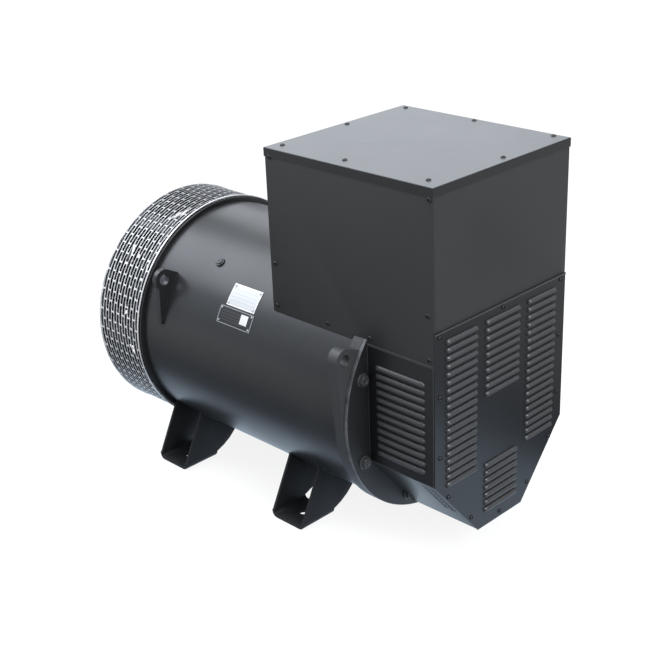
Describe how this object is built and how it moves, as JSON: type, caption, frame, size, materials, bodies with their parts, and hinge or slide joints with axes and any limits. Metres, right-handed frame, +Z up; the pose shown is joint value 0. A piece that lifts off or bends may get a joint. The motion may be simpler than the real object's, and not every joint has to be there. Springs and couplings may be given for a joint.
{
  "type": "generator alternator head",
  "caption": "Single-bearing alternator head: steel barrel on bent-plate feet, slotted drive-end screen, louvred air inlet and a tall terminal box.",
  "frame": {"origin": "centre of the bounding box's base, on the plane of the feet", "axes": "+X along the shaft from the drive end to the louvred end, +Z up, -Y the side with the rating plate"},
  "size_m": [1.1992, 0.6734, 0.986],
  "materials": {
    "black_satin_paint": "satin black paint on steel",
    "black_textured_coat": "fine textured black coat on sheet steel",
    "painted_casting": "black paint on cast iron",
    "zinc_sheet": "bright zinc-plated sheet",
    "bright_steel": "ground steel",
    "core_steel": "varnished laminations",
    "varnished_copper": "enamelled copper wire under varnish",
    "cast_aluminium": "cast aluminium",
    "insulating_board": "glass-filled board",
    "black_plastic": "moulded plastic",
    "aluminium_label": "bare aluminium plate"
  },
  "bodies": {
    "frame": {"frame_barrel": "black_satin_paint", "drive_end_ring": "black_satin_paint", "non_drive_end_ring": "black_satin_paint", "drive_end_lifting_ear_left": "black_satin_paint", "drive_end_lifting_ear_right": "black_satin_paint", "foot_drive_end_left": "black_satin_paint", "foot_drive_end_right": "black_satin_paint", "foot_non_drive_end_left": "black_satin_paint", "foot_non_drive_end_right": "black_satin_paint", "terminal_box_frame": "black_satin_paint", "terminal_box_side_left": "black_textured_coat", "terminal_box_side_right": "black_textured_coat", "terminal_box_end_panel": "black_textured_coat", "terminal_box_rear_panel": "black_textured_coat", "terminal_box_lid": "black_textured_coat", "inlet_end_plate": "black_textured_coat", "inlet_side_panel_left": "black_textured_coat", "inlet_side_panel_right": "black_textured_coat", "inlet_trough": "black_textured_coat", "drive_end_adaptor": "painted_casting", "non_drive_end_bracket": "painted_casting", "bearing_cap": "painted_casting", "outlet_screen": "zinc_sheet", "bearing_cartridge": "bright_steel", "bearing_outer_race": "bright_steel", "stator_core": "core_steel", "exciter_stator": "core_steel", "pilot_exciter_stator": "core_steel", "stator_winding_drive_end": "varnished_copper", "stator_winding_non_drive_end": "varnished_copper", "voltage_regulator": "cast_aluminium", "gland_plate": "cast_aluminium", "terminal_board": "insulating_board", "current_transformer_1": "black_plastic", "current_transformer_2": "black_plastic", "current_transformer_3": "black_plastic", "rating_plate": "aluminium_label"},
    "rotor": {"shaft": "bright_steel", "rotor_core": "core_steel", "field_coil_1": "varnished_copper", "field_coil_2": "varnished_copper", "field_coil_3": "varnished_copper", "field_coil_4": "varnished_copper", "coil_wedge_1": "cast_aluminium", "coil_wedge_2": "cast_aluminium", "coil_wedge_3": "cast_aluminium", "coil_wedge_4": "cast_aluminium", "cooling_fan": "cast_aluminium", "coupling_hub": "painted_casting", "coupling_discs": "bright_steel", "bearing_inner_race": "bright_steel", "exciter_armature": "core_steel", "exciter_sleeve": "bright_steel", "rectifier_plate_positive": "cast_aluminium", "rectifier_plate_negative": "cast_aluminium", "pilot_exciter_magnets": "black_plastic"},
    "bearing_cage": {"bearing_balls_and_cage": "bright_steel"}
  },
  "joints": [
    {"name": "rotor_spin", "type": "hinge", "parent": "frame", "child": "rotor", "pos_m": [0, 0, 0.37], "axis": [1, 0, 0], "continuous": true},
    {"name": "cage_spin", "type": "hinge", "parent": "frame", "child": "bearing_cage", "pos_m": [0.37705, 0, 0.37], "axis": [1, 0, 0], "continuous": true}
  ],
  "couplings": [
    {"joint": "cage_spin", "follows": "rotor_spin", "ratio": 0.4}
  ]
}
